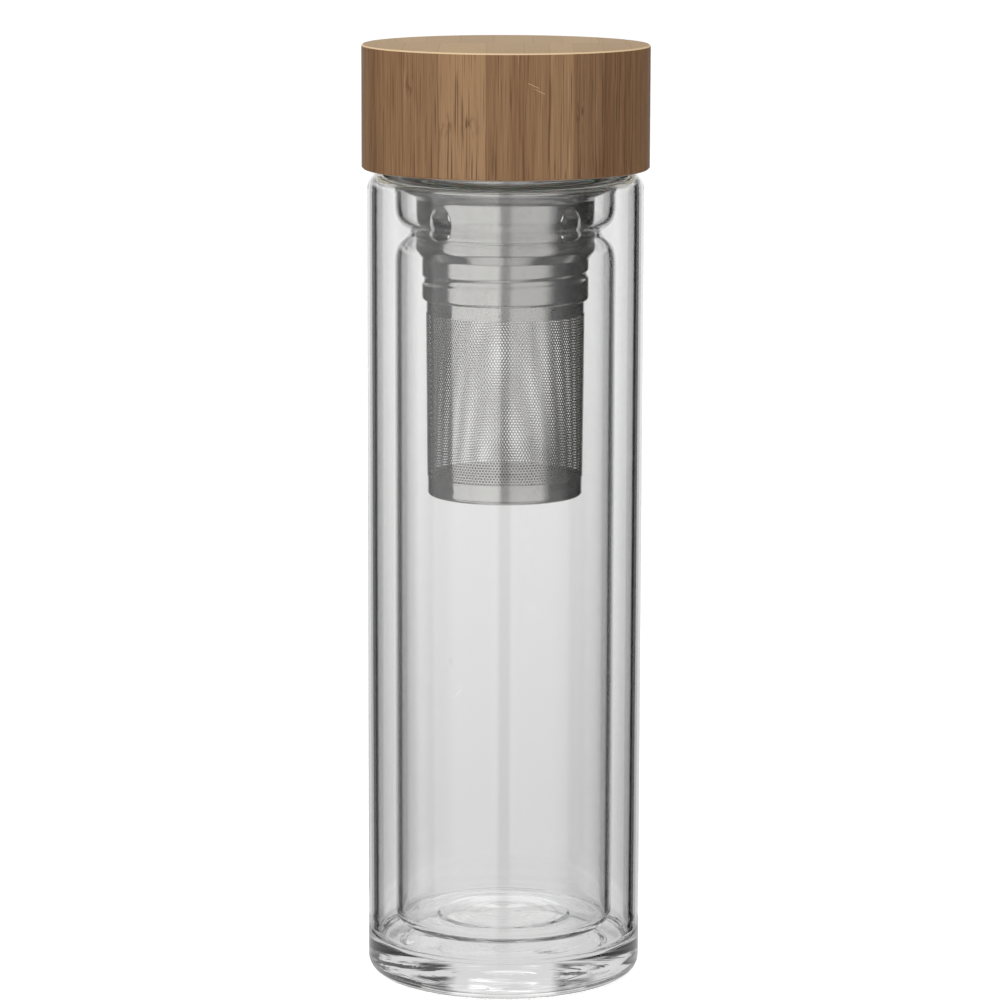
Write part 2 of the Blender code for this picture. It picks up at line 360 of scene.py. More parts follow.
def worked(piece, tree, **inputs):
    """Put a geometry tree on a piece and set its inputs by the sockets' identifiers."""
    modifier = piece.modifiers.new(tree.name, "NODES")
    modifier.node_group = tree
    for socket in tree.interface.items_tree:
        name = socket.name.lower().replace(" ", "_")
        if socket.in_out == "INPUT" and name in inputs:
            modifier[socket.identifier] = inputs[name]
    return modifier


def noise_over(place, scale, detail):
    """Noise over a place, about 0.5 on the whole."""
    return add_node(place.tree, "ShaderNodeTexNoise",
                    {"Vector": place, "Scale": scale, "Detail": detail})[0]


def surface_marks():
    """Marks that turned and handled surfaces share: fine rings, soft clouds and specks."""
    tree = bpy.data.node_groups.new("surface_marks", "ShaderNodeTree")
    for label, scale in (("Ring Scale", 2400.0), ("Streak Scale", 260.0),
                         ("Cloud Scale", 55.0), ("Speck Scale", 700.0)):
        socket = tree.interface.new_socket(label, in_out="INPUT",
                                           socket_type="NodeSocketFloat")
        socket.default_value = scale
    for label in ("Rings", "Streaks", "Clouds", "Specks"):
        tree.interface.new_socket(label, in_out="OUTPUT", socket_type="NodeSocketFloat")
    given = add_node(tree, "NodeGroupInput")
    place = add_node(tree, "ShaderNodeTexCoord")["Object"]
    x, y, z = three_parts(place)
    slow = 0.03
    specks = add_node(tree, "ShaderNodeTexVoronoi",
                      {"Vector": place, "Scale": given["Speck Scale"]})
    few = three_parts(specks["Color"])[0] > 0.93
    add_node(tree, "NodeGroupOutput", {
        "Rings": noise_over(vector(x * slow, y * slow, z), given["Ring Scale"], 3.0),
        "Streaks": noise_over(vector(x, y, z * slow), given["Streak Scale"], 3.0),
        "Clouds": noise_over(place, given["Cloud Scale"], 5.0),
        "Specks": spread(specks["Distance"], 0.32, 0.12) * few})
    return tree


marks_group = surface_marks()


def bare_material(name):
    """A new material and its tree."""
    material = bpy.data.materials.new(name)
    material.use_nodes = True
    return material, material.node_tree


def new_material(name, scales=None):
    """A material with its tree, its Principled shader and a node of surface marks."""
    material, tree = bare_material(name)
    marks = add_node(tree, "ShaderNodeGroup", scales, node_tree=marks_group)
    return material, tree, tree.nodes["Principled BSDF"], marks


def bump(height, strength, distance):
    """A normal from a height."""
    return add_node(height.tree, "ShaderNodeBump",
                    {"Height": height, "Strength": strength, "Distance": distance})[0]


def tint(factor, colour, other):
    """A colour between two, by a factor."""
    return add_node(factor.tree, "ShaderNodeMix", {0: factor, 6: colour, 7: other},
                    data_type="RGBA")[2]


def spot(place, centre, size):
    """A soft round mask about a point, 1 in its middle."""
    away = on_vectors("DIVIDE", on_vectors("SUBTRACT", place, centre), size)
    return spread(on_vectors("LENGTH", away, output="Value"), 1.0, 0.2, smooth=True)


# Clear glass is almost colourless. It keeps faint drawing streaks, a little dust, and a
# few dried water marks inside the flask.
glass_colour = (0.998, 1.0, 0.998, 1.0)
glass_dull_colour = (0.955, 0.960, 0.955, 1.0)
glass_index = 1.47
water_marks = (
    ((-0.0122, 0.0220, 0.0655), (0.0022, 0.0060, 0.0024)),
    ((0.0070, 0.0235, 0.0860), (0.0026, 0.0060, 0.0030)),
    ((-0.0125, -0.0215, 0.0830), (0.0016, 0.0060, 0.0020)),
)
bead_scale = 900.0
glass, tree, shader, marks = new_material("clear_glass",
                                          {"Streak Scale": 420.0, "Speck Scale": 520.0})
place = add_node(tree, "ShaderNodeTexCoord")["Object"]
drops = greatest(spot(place, centre, size) for centre, size in water_marks)
beading = drops * spread(noise_over(place, bead_scale, 2.0), 0.50, 0.60, smooth=True)
dull = reckon("ADD", marks["Specks"] * 0.5, beading * 0.3, clamp=True)
x, y, z = three_parts(place)
radius = on_vectors("LENGTH", vector(x, y, 0.0), output="Value")
ring_place = vector(x * ring_wave_slant, y * ring_wave_slant, radius)
ring_waves = noise_over(ring_place, ring_wave_scale, 2.0)
near_base = spread(z, flask_foot_z + 2 * flask_wall, flask_foot_z + flask_wall)
relief = marks["Streaks"] * 0.035 + (beading + ring_waves * near_base)
feed(shader, {"IOR": glass_index,
              "Transmission Weight": 1.0,
              "Base Color": tint(dull, glass_colour, glass_dull_colour),
              "Roughness": spread(marks["Clouds"], 0.5, 0.8, 0.0, 0.012) + dull * 0.12,
              "Normal": bump(relief, 0.6, 0.0001)})

flask_floor_z = flask_foot_z + flask_floor
ceiling_z = shoulder_z - outer_wall
skin = rounded([
    (0, flask_floor_z + floor_middle_rise, 0),
    (floor_pad_radius - floor_pad_rise, flask_floor_z + floor_pad_rise, floor_pad_round),
    (floor_pad_radius + floor_pad_rise, flask_floor_z, floor_pad_round),
    (bore_radius, flask_floor_z, flask_round - flask_wall),
    *waist_bead(flask_wall, upwards=True),
    (bore_radius, rim_z, rim_round),
    (neck_radius, rim_z, rim_round),
    (neck_radius, shoulder_z, neck_root_round),
    (body_radius, shoulder_z, shoulder_round),
    (body_radius, 0, foot_round),
    (foot_inside_radius, 0, recess_round),
    (foot_inside_radius - 2 * foot_recess, foot_recess, recess_round),
    (0, foot_recess, 0),
])
skin = with_rows(skin, shoulder_z + neck_root_round, rim_z - rim_round, thread_row)
hollow = rounded([
    (0, base_thickness, 0),
    (cavity_radius, base_thickness, cavity_floor_round),
    (cavity_radius, ceiling_z, cavity_top_round),
    (flask_radius, ceiling_z, flask_top_round),
    *waist_bead(0.0, upwards=False),
    (flask_radius, flask_foot_z, flask_round),
    (0, flask_foot_z, 0),
])
skin = with_rows(skin, 0, base_thickness, base_row)
skin = with_rows(skin, flask_floor_z, flask_floor_z + floor_middle_rise, base_row)
hollow = with_rows(hollow, base_thickness, flask_foot_z, base_row)
vessel = turned("glass_vessel", [skin, hollow], glass_columns)
worked(vessel, screw_thread, foot=neck_thread_low, lead=neck_thread_lead,
       turns=neck_thread_turns, width=neck_thread_width, height=neck_thread_height,
       fade=neck_thread_fade, low=shoulder_z, high=rim_z,
       inner_radius=(bore_radius + neck_radius) / 2, material=glass)
made_plain(vessel, glass)
for corner in vessel.data.vertices:
    inwards = min(1.0, (body_radius - math.hypot(corner.co.x, corner.co.y)) / outer_wall)
    above_foot = min(1.0, corner.co.z / foot_recess)
    if 0 < corner.co.z < flask_floor_z + flask_round:
        swell = noise.noise(corner.co * wave_scale)
        if corner.co.z > flask_foot_z - wave_height:
            swell *= floor_wave_share
        corner.co.z += swell * wave_height * max(0.0, inwards) * above_foot
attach(vessel, "bottle")
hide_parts("outer_glass", "inner_glass")

# Basket of the infuser
# Thin steel sheet with photo-etched holes in staggered rows, rolled into a tube and
# seam-welded. The band above the holes has a rolled thread, and a pressed bottom closes it.

wall_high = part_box("basket_wall")[1]
basket_foot_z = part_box("basket_bottom")[0][2]
basket_radius = wall_high[0]
basket_taper = 0.00035
skirt_foot_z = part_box("infuser_collar")[0][2]
sheet = 0.0004
etched_sheet = 0.00009
hole_pitch = 0.000757
hole_width = 0.00057
hole_columns = 160
lattice_phase = 0.06
holes_low = basket_foot_z + 0.0047
holes_high = skirt_foot_z - 0.0030
band_low = skirt_foot_z + 0.0013
seam_turn = math.radians(205)
seam_width = 0.0026
basket_columns = 240
basket_thread_foot = 0.17137
collar_thread_lead = 0.0033
collar_thread_width = 0.0026
collar_thread_depth = 0.00050
collar_thread_fade = 0.12
basket_thread_turns = 2.6
weld_place = (-0.0121, -0.0149, basket_foot_z + 0.0030)
weld_size = (0.0006, 0.0020, 0.0009)
steel_colour = (0.60, 0.59, 0.575, 1.0)
steel_dark_colour = (0.47, 0.46, 0.45, 1.0)


def steel_material(name, rough_low, rough_high, strength, weld=None):
    """Polished sheet steel with fine rolling streaks, soft clouds and handling specks."""
    material, tree, shader, marks = new_material(name)
    uneven = marks["Clouds"] * 0.6 + marks["Streaks"] * 0.4
    worn = reckon("ADD", spread(uneven, 0.50, 0.72) * 0.5, marks["Specks"] * 0.5, clamp=True)
    relief = marks["Rings"] * 0.5 + marks["Specks"] * 0.8
    if weld:
        relief += spot(add_node(tree, "ShaderNodeTexCoord")["Object"], *weld) * 8.0
    feed(shader, {"Metallic": 1.0,
                  "Base Color": tint(worn, steel_colour, steel_dark_colour),
                  "Roughness": spread(uneven, 0.35, 0.70, rough_low, rough_high),
                  "Normal": bump(relief, strength, 0.00004)})
    return material


basket_steel = steel_material("etched_steel", 0.06, 0.13, 0.22, weld=(weld_place, weld_size))


def placed(geometry, place):
    """Geometry whose points are moved to other places."""
    return add_node(geometry.tree, "GeometryNodeSetPosition",
                    {"Geometry": geometry, "Position": place})[0]


def perforated_tree():
    """Geometry nodes for a rolled sheet of six-sided cells, with holes but for the seam."""
    tree, given, place = geometry_tree(
        "perforated_sheet", ("Pitch", "Hole", "Foot", "Low", "High", "Holes Low", "Holes High",
                             "Radius", "Taper", "Taper Foot", "Taper Top", "Seam Turn",
                             "Seam Width", "Phase"), counts=("Columns", "Rows"))
    x, y, z = three_parts(place)
    pitch = given["Pitch"]
    row_rise = pitch * (math.sqrt(3) / 2)
    corner = pitch / math.sqrt(3)

    ring = add_node(tree, "GeometryNodeMeshGrid",
                    {"Size X": 1.0, "Size Y": 1.0, "Vertices X": 7, "Vertices Y": 2})["Mesh"]
    turn = (x + 0.75) * -math.tau
    inner = y > 0.0
    reach = inner * (given["Hole"] / 2.0) + (1.0 - inner) * corner
    holed_cell = placed(ring, vector(reach * reckon("COSINE", turn), 0.0,
                                     reach * reckon("SINE", turn)))
    disc = add_node(tree, "GeometryNodeMeshCircle", {"Vertices": 6, "Radius": corner},
                    fill_type="NGON")["Mesh"]
    plain_cell = add_node(tree, "GeometryNodeTransform",
                          {"Geometry": disc, "Rotation": (math.pi / 2, math.pi / 6, 0)})[0]

    width = (given["Columns"] - 1.0) * pitch
    rise = (given["Rows"] - 1.0) * row_rise
    lattice = add_node(tree, "GeometryNodeMeshGrid",
                       {"Size X": width, "Size Y": rise, "Vertices X": given["Columns"],
                        "Vertices Y": given["Rows"]})["Mesh"]
    level = y + rise / 2.0 + given["Foot"]
    odd = reckon("FLOORED_MODULO", reckon("ROUND", level / row_rise), 2.0)
    points = placed(lattice, vector(x + width / 2.0 + odd * (pitch / 2.0), 0.0, level))

    from_seam = abs(x - given["Seam Turn"] * given["Radius"])
    holed = ((from_seam > given["Seam Width"] / 2.0)
             * ((z > given["Holes Low"]) * (z < given["Holes High"])))
    joined = add_node(tree, "GeometryNodeJoinGeometry")
    for cell, wanted in ((holed_cell, holed), (plain_cell, 1.0 - holed)):
        feed(joined.node, {0: add_node(tree, "GeometryNodeInstanceOnPoints",
                                       {"Points": points, "Instance": cell,
                                        "Selection": wanted})[0]})
    flat_sheet = add_node(tree, "GeometryNodeRealizeInstances", {"Geometry": joined[0]})[0]

    turned_on = x + given["Phase"] * pitch
    angle = turned_on / (given["Columns"] * pitch) * math.tau
    level = reckon("MINIMUM", reckon("MAXIMUM", z, given["Low"]), given["High"])
    radius = given["Radius"] - spread(level, given["Taper Foot"], given["Taper Top"],
                                      given["Taper"], 0.0)
    rolled = placed(flat_sheet, vector(radius * reckon("COSINE", angle),
                                       radius * reckon("SINE", angle), level))
    sewn = add_node(tree, "GeometryNodeMergeByDistance",
                    {"Geometry": rolled, "Distance": 0.00002})[0]
    end_tree(tree, given, sewn)
    return tree


perforated_sheet = perforated_tree()


def give_thickness(piece, thickness=sheet, even=False):
    """Thicken a skin inwards to the thickness of its sheet."""
    solid = piece.modifiers.new("sheet", "SOLIDIFY")
    solid.thickness = thickness
    solid.offset = -1
    solid.use_even_offset = even


wall_foot_z = basket_foot_z + 0.0009
row_rise = hole_pitch * math.sqrt(3) / 2
middle_row = round((holes_high + holes_low) / 2 / row_rise)
band_row = round(band_low / row_rise)
foot_row = round(wall_foot_z / row_rise)
for name, first_row, last_row in (("basket_lower_wall", foot_row, middle_row),
                                  ("basket_upper_wall", middle_row + 1, band_row)):
    wall = mesh_piece(name, [], [])
    worked(wall, perforated_sheet, columns=hole_columns, rows=last_row - first_row + 1,
           pitch=hole_pitch, hole=hole_width, foot=first_row * row_rise, low=wall_foot_z,
           high=band_low, holes_low=holes_low, holes_high=holes_high, radius=basket_radius,
           taper=basket_taper, taper_foot=basket_foot_z, taper_top=skirt_foot_z,
           seam_turn=seam_turn, seam_width=seam_width, phase=lattice_phase,
           material=basket_steel)
    give_thickness(wall, etched_sheet)
    made_plain(wall, basket_steel)
    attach(wall, "basket")
    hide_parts("basket_wall")

band = turned("basket_thread_band",
              [with_rows([(basket_radius, wall_high[2]), (basket_radius, band_low)],
                         skirt_foot_z, wall_high[2], thread_row)], basket_columns)
worked(band, screw_thread, foot=basket_thread_foot, lead=collar_thread_lead,
       turns=basket_thread_turns, width=collar_thread_width, height=-collar_thread_depth,
       fade=collar_thread_fade, low=skirt_foot_z, high=rim_z, inner_radius=0.0,
       material=basket_steel)
give_thickness(band)
made_plain(band, basket_steel)
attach(band, "basket")
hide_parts("basket_wall")

bottom_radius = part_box("basket_bottom")[1][0]
bottom_round = 0.0008
lip_top_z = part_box("basket_bottom")[1][2]
seat_gap = 0.0003
dish_radius = 0.0125
dish_rise = 0.0005
bottom_steel = steel_material("pressed_steel", 0.07, 0.15, 0.3)
lip_radius = bottom_radius - sheet - seat_gap
bottom = turned("basket_bottom_plate",
                [rounded([(lip_radius, lip_top_z, 0),
                          (lip_radius, basket_foot_z + bottom_round, 0),
                          (bottom_radius, basket_foot_z + bottom_round, 0),
                          (bottom_radius, basket_foot_z, bottom_round * 0.98),
                          (dish_radius + dish_rise, basket_foot_z, dish_rise),
                          (dish_radius - dish_rise, basket_foot_z + dish_rise, dish_rise),
                          (0, basket_foot_z + dish_rise, 0)])], basket_columns)
give_thickness(bottom, even=True)
made_plain(bottom, bottom_steel)
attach(bottom, "basket")
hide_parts("basket_bottom")

# Collar of the infuser
# Drawn from one steel sheet: a flange that hangs on the neck, a cup, a flared step down,
# four oval ports for pouring and a skirt with a rolled thread that takes the basket.

collar_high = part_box("infuser_collar")[1]
flange_radius = collar_high[0]
flange_z = collar_high[2] - sheet
flange_bend = 0.0010
cup_radius = 0.0250
flare_top_z = 0.1958
flare_foot_z = 0.1929
collar_radius = 0.02175
skirt_radius = 0.02035
step_top_z = 0.1808
step_foot_z = 0.1784
hem_round = 0.0012
hem_turn = math.radians(50)
hem_steps = 6
flare_round = 0.0008
step_round = 0.0009
step_top_round = 0.0022
port_width = 0.0074
port_height = 0.0096
port_z = 0.18755
port_count = 4
first_port_turn = math.radians(45)
port_sides = 40
lip_sheet = 0.00035
lip_bend = 0.0007
lip_length = 0.0035
lip_narrowing = 0.0004
lip_cover = 0.00005
lip_steps = 8
collar_columns = 240
skirt_thread_foot = 0.17137
skirt_thread_turns = 1.15
collar_steel = steel_material("drawn_steel", 0.11, 0.18, 0.2)

hem_start = skirt_radius - hem_round
hem_centre_z = skirt_foot_z + hem_round * math.sin(hem_turn)
hem_arc = [hem_turn * step / hem_steps for step in range(hem_steps + 1)]
hem = [(hem_start + hem_round * math.cos(bend), hem_centre_z - hem_round * math.sin(bend), 0)
       for bend in hem_arc]
collar_profile = rounded([
    (flange_radius, flange_z, 0),
    (cup_radius, flange_z, flange_bend),
    (cup_radius, flare_top_z, flare_round),
    (collar_radius, flare_foot_z, flare_round),
    (collar_radius, step_top_z, step_top_round),
    (skirt_radius, step_foot_z, step_round),
    *hem,
])
collar = turned("infuser_collar_shell",
                [with_rows(collar_profile, hem_centre_z - hem_round, step_foot_z, thread_row)],
                collar_columns)
worked(collar, screw_thread, foot=skirt_thread_foot, lead=collar_thread_lead,
       turns=skirt_thread_turns, width=collar_thread_width, height=-collar_thread_depth,
       fade=collar_thread_fade, low=skirt_foot_z, high=step_foot_z, inner_radius=0.0,
       material=collar_steel)
give_thickness(collar, even=True)


def port_frames():
    """The way out of each port and the way along the wall beside it."""
    for number in range(port_count):
        turn = first_port_turn + number * math.tau / port_count
        outward = Vector((math.cos(turn), math.sin(turn), 0))
        yield outward, Vector((-outward.y, outward.x, 0))


port_points, port_faces = [], []
for outward, sideways in port_frames():
    first = len(port_points)
    for reach in (collar_radius - 4 * sheet, collar_radius + 4 * sheet):
        for side in range(port_sides):
            around = math.tau * side / port_sides
            point = outward * reach + sideways * port_width / 2 * math.cos(around)
            point.z = port_z + port_height / 2 * math.sin(around)
            port_points.append(point)
    port_faces.append([first + side for side in range(port_sides)][::-1])
    port_faces.append([first + port_sides + side for side in range(port_sides)])
    for side in range(port_sides):
        after = (side + 1) % port_sides
        port_faces.append([first + side, first + after, first + port_sides + after,
                           first + port_sides + side])
cutter = mesh_piece("port_cutter", port_points, port_faces)
cut = collar.modifiers.new("ports", "BOOLEAN")
cut.operation = "DIFFERENCE"
cut.solver = "EXACT"
cut.object = cutter
made_plain(collar, collar_steel)
bpy.data.objects.remove(cutter, do_unlink=True)
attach(collar, "collar")
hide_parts("infuser_collar")

lip_arc = [math.pi / 2 * step / lip_steps for step in range(lip_steps + 1)]
lip_profile = [(-lip_cover, lip_cover / 4)]
lip_profile += [(lip_bend * math.sin(bend), lip_bend * (1 - math.cos(bend)) + lip_cover / 4)
                for bend in lip_arc]
lip_profile += [(lip_bend + lip_narrowing, lip_length),
                (lip_bend + lip_narrowing - lip_sheet, lip_length)]
lip_profile += [((lip_bend - lip_sheet) * math.sin(bend),
                 lip_bend - (lip_bend - lip_sheet) * math.cos(bend)) for bend in lip_arc[::-1]]
lip_profile.append((-lip_cover, lip_sheet))
lip_points, lip_faces = [], []
for outward, sideways in port_frames():
    first = len(lip_points)
    for side in range(port_sides):
        around = math.tau * side / port_sides
        reach_side = port_width / 2 * math.cos(around)
        surface = math.sqrt(collar_radius ** 2 - reach_side ** 2)
        inwards = -Vector((math.cos(around) / port_width, math.sin(around) / port_height))
        inwards.normalize()
        for into, depth in lip_profile:
            point = outward * (surface - depth) + sideways * (reach_side + inwards.x * into)
            point.z = port_z + port_height / 2 * math.sin(around) + inwards.y * into
            lip_points.append(point)
    round_lip = len(lip_profile)
    for side in range(port_sides):
        here = first + side * round_lip
        there = first + (side + 1) % port_sides * round_lip
        for step in range(round_lip):
            after = (step + 1) % round_lip
            lip_faces.append((here + step, here + after, there + after, there + step))
lips = mesh_piece("port_lips", lip_points, lip_faces)
made_plain(lips, collar_steel)
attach(lips, "collar")
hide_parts("infuser_collar")

# Flange seal
# A moulded silicone ring with a channel that grips the edge of the flange. It lies on
# the rim of the glass and keeps the steel off it.

seal_low, seal_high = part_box("flange_seal")
seal_radius = seal_high[0]
seal_lip = 0.0009
seal_corner = 0.00035
rib_height = 0.0002
silicone_colour = (0.80, 0.80, 0.78, 1.0)
silicone_dust_colour = (0.66, 0.65, 0.62, 1.0)


def silicone_material(name, subsurface):
    """Translucent white silicone, a little dusty, with a soft bloom on its skin."""
    material, tree, shader, marks = new_material(name)
    clouds = marks["Clouds"]
    dusty = reckon("ADD", spread(clouds, 0.45, 0.75) * 0.4, marks["Specks"] * 0.6, clamp=True)
    feed(shader, {"Subsurface Weight": subsurface,
                  "Subsurface Scale": 0.002,
                  "Base Color": tint(dusty, silicone_colour, silicone_dust_colour),
                  "Roughness": spread(clouds, 0.3, 0.8, 0.42, 0.62),
                  "Normal": bump(clouds, 0.2, 0.00005)})
    return material


seal_silicone = silicone_material("seal_silicone", 0.15)
channel_radius = flange_radius + seat_gap
lip_radius = cup_radius + flange_bend
seal = turned("flange_seal_ring", [rounded([
    (lip_radius, seal_high[2] - seal_lip / 2, 0),
    (lip_radius, seal_high[2], seal_corner),
    (seal_radius, seal_high[2], seal_corner),
    (seal_radius, seal_low[2], seal_corner),
    (lip_radius, seal_low[2], seal_corner),
    (lip_radius, seal_low[2] + seal_lip, seal_corner),
    (channel_radius, seal_low[2] + seal_lip, 0),
    (channel_radius, seal_high[2] - seal_lip, 0),
    (lip_radius, seal_high[2] - seal_lip, seal_corner),
    (lip_radius, seal_high[2] - seal_lip / 2 - seal_corner / 4, 0),
], steps=5)], basket_columns, closed=True)
made_plain(seal, seal_silicone)
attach(seal, "seal")
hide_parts("flange_seal")

# Cap gasket
# A flat silicone ring pressed into the liner's ceiling. A low bead on its underside
# closes onto the flange's seal.

gasket_low, gasket_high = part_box("cap_gasket")
gasket_outside = gasket_high[0]
gasket_width = 0.0055
gasket_inside = gasket_outside - gasket_width
bead_middle = (gasket_outside + gasket_inside) / 2
bead_half = 0.0008
gasket_silicone = silicone_material("gasket_silicone", 0.1)
gasket = turned("cap_gasket_ring", [rounded([
    (gasket_inside, (gasket_low[2] + gasket_high[2]) / 2, 0),
    (gasket_inside, gasket_high[2], seal_corner),
    (gasket_outside, gasket_high[2], seal_corner),
    (gasket_outside, gasket_low[2] + rib_height, seal_corner),
    (bead_middle + bead_half, gasket_low[2] + rib_height, rib_height),
    (bead_middle, gasket_low[2], rib_height),
    (bead_middle - bead_half, gasket_low[2] + rib_height, rib_height),
    (gasket_inside, gasket_low[2] + rib_height, seal_corner),
    (gasket_inside, gasket_low[2] + rib_height + 2 * seal_corner, 0),
], steps=5)], basket_columns, closed=True)
made_plain(gasket, gasket_silicone)
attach(gasket, "gasket")
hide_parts("cap_gasket")

# Cap liner
# A moulded polypropylene cup, glued into the bamboo, with the female thread that screws
# onto the neck of the glass. Its foot stops a little short of the bamboo's edge.

liner_low, liner_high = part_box("cap_liner")
liner_radius = liner_high[0]
liner_wall = 0.0016
liner_bore_radius = liner_radius - liner_wall
liner_ceiling_z = liner_high[2] - liner_wall
liner_corner = 0.0004
liner_thread_drop = 0.0023
liner_thread_lag_share = 0.1
liner_thread_width = 0.0021
liner_thread_turns = 1.3
liner_colour = (0.83, 0.82, 0.78, 1.0)
liner_shadow_colour = (0.70, 0.68, 0.62, 1.0)
liner_plastic, tree, shader, marks = new_material("liner_plastic")
flow = spread(marks["Streaks"], 0.45, 0.75)
scuffed = reckon("ADD", flow * 0.35, marks["Specks"] * 0.5, clamp=True)
feed(shader, {"Subsurface Weight": 0.2,
              "Subsurface Scale": 0.003,
              "Base Color": tint(scuffed, liner_colour, liner_shadow_colour),
              "Roughness": spread(marks["Clouds"], 0.3, 0.8, 0.30, 0.45),
              "Normal": bump(marks["Streaks"], 0.15, 0.00005)})
liner_profile = rounded([
    (0, liner_high[2], 0),
    (liner_radius, liner_high[2], liner_corner),
    (liner_radius, liner_low[2], liner_corner),
    (liner_bore_radius, liner_low[2], liner_corner),
    (liner_bore_radius, liner_ceiling_z, liner_corner),
    (0, liner_ceiling_z, 0),
])
liner = turned("cap_liner_cup",
               [with_rows(liner_profile, liner_low[2] + liner_corner, liner_ceiling_z, thread_row)],
               glass_columns)
liner_thread_foot = (neck_thread_low - liner_thread_drop
                     + neck_thread_lead * liner_thread_lag_share)
worked(liner, screw_thread, foot=liner_thread_foot, lead=neck_thread_lead,
       turns=liner_thread_turns, width=liner_thread_width, height=-neck_thread_height,
       fade=neck_thread_fade, low=liner_low[2], high=liner_ceiling_z, inner_radius=0.0,
       material=liner_plastic)
made_plain(liner, liner_plastic)
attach(liner, "cap")
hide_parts("cap_liner")

# Bamboo cap
# A shell turned from a block of glued bamboo strips, fibres upright, thinly lacquered.
# The top edge has a small chamfer, painted pale as a highlight along it.

cap_low, cap_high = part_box("bamboo_cap")
cap_radius = cap_high[0]
cap_top_z = cap_high[2]
cap_bottom_z = cap_low[2]
cap_bore_radius = 0.0312
cap_ceiling_z = 0.2200
cap_top_chamfer = 0.00035
cap_bottom_chamfer = 0.0004
chamfer_round = 0.00012
cap_columns = 320
front_strips = ((-0.0313, 0.28), (-0.0246, 0.37), (-0.0160, 0.48), (-0.0047, 0.86),
                (0.0042, 0.44), (0.0103, 0.44), (0.0160, 0.76), (0.0232, 0.26),
                (0.0300, 0.18))
back_strips = ((-0.0270, 0.36), (-0.0195, 0.70), (-0.0112, 0.46), (-0.0030, 0.30),
               (0.0068, 0.62), (0.0138, 0.50), (0.0226, 0.78), (0.0290, 0.40))
last_strip_tone = 0.30
glue_width = 0.00012
layer_y = 0.0040
bamboo_dark = (0.122, 0.050, 0.018, 1.0)
bamboo_pale = (0.345, 0.205, 0.104, 1.0)
fibre_colour = (0.085, 0.040, 0.020, 1.0)
bright_fibre_colour = (0.560, 0.390, 0.250, 1.0)
# Pale colour for scratches, and for the highlight painted along the top chamfer.
highlight_and_scratch_colour = (0.780, 0.580, 0.350, 1.0)
# Colour of the top face's end grain, made paler as a painted sheen from the light above it.
end_grain_and_sheen_colour = (0.480, 0.318, 0.138, 1.0)
# Colour of the underside's raw grain, painted paler to stand in for light bounced up through the
# glass.
raw_grain_and_bounce_light_colour = (0.720, 0.680, 0.540, 1.0)
knots = (((-0.0142, 0.2128), (0.0020, 0.0042)), ((-0.0085, 0.2124), (0.0028, 0.0040)),
         ((0.0176, 0.2150), (0.0016, 0.0060)), ((-0.0230, 0.2220), (0.0016, 0.0040)))
scratches = (((0.0052, 0.2230), (0.0078, 0.2218)), ((0.0068, 0.2216), (0.0092, 0.2204)))
scratch_width = 0.00011
sway_scale = 60.0
sway_reach = 0.0002
fibre_stretch = 0.016
fine_grain_scale = 3800.0
broad_grain_scale = 420.0
dark_line_scale = 3000.0
pale_line_scale = 3200.0
dash_stretch = 0.25
dash_scale = 1300.0

bamboo, tree = bare_material("bamboo")
place = add_node(tree, "ShaderNodeTexCoord")["Object"]
x, y, z = three_parts(place)
upward = three_parts(add_node(tree, "ShaderNodeNewGeometry")["Normal"])[2]


def ramped(value, stops, interpolation="LINEAR"):
    """Grey levels along a value, from stops of (share, level)."""
    ramp = add_node(value.tree, "ShaderNodeValToRGB", {0: value})
    ramp.node.color_ramp.interpolation = interpolation
    elements = ramp.node.color_ramp.elements
    for index, (share, level) in enumerate(stops):
        stop = elements[index] if index < 2 else elements.new(share)
        stop.position = share
        stop.color = (level, level, level, 1.0)
    return ramp[0]


def strip_tones(strips):
    """Tone of each glued strip and a mask of the glue lines, across the block."""
    starts = [-cap_radius] + [end for end, tone in strips]
    tones = [tone for end, tone in strips] + [last_strip_tone]
    stops = [((start + cap_radius) / (2 * cap_radius), tone)
             for start, tone in zip(starts, tones)]
    lines = greatest(spread(abs(wander_x - end), glue_width, glue_width / 3)
                     for end, tone in strips)
    return ramped(spread(wander_x, -cap_radius, cap_radius), stops, "CONSTANT"), lines


wander_x = x + spread(noise_over(place, sway_scale, 1.0), 0.3, 0.7, -sway_reach, sway_reach)
front_tone, front_glue = strip_tones(front_strips)
back_tone, back_glue = strip_tones(back_strips)
behind = y > layer_y
layer_line = spread(abs(y - layer_y), glue_width, glue_width / 3)
across_glue = front_glue * (1.0 - behind) + back_glue * behind
glue = reckon("MAXIMUM", across_glue, layer_line)

knot_masks = []
for (knot_x, knot_z), (knot_width, knot_height) in knots:
    far_x = (x - knot_x) / knot_width
    far_z = (z - knot_z) / knot_height
    far = reckon("SQRT", far_x * far_x + far_z * far_z)
    knot_masks.append(spread(far, 1.0, 0.1, smooth=True))
dashes = noise_over(vector(x, y, z * dash_stretch), dash_scale, 3.0)
knot_dash = greatest(knot_masks) * spread(dashes, 0.46, 0.62)

fibre_place = vector(x, y, z * fibre_stretch)
fine = noise_over(fibre_place, fine_grain_scale, 3.0)
broad = noise_over(fibre_place, broad_grain_scale, 4.0)
dark_line = spread(noise_over(fibre_place, dark_line_scale, 1.0), 0.60, 0.67)
pale_line = spread(noise_over(fibre_place, pale_line_scale, 1.0), 0.70, 0.78)
grained = spread(broad, 0.36, 0.64, 0.0, 0.18) + spread(fine, 0.36, 0.64, 0.0, 0.28)
mixed = reckon("ADD", tint(behind, front_tone, back_tone) * 0.80, grained, clamp=True)
lines = reckon("ADD", dark_line * 0.72, knot_dash * 0.75, clamp=True)
lines = reckon("MAXIMUM", lines, glue * 0.55)
colour = tint(mixed, bamboo_dark, bamboo_pale)
colour = tint(lines, colour, fibre_colour)
colour = tint(pale_line * 0.35, colour, bright_fibre_colour)
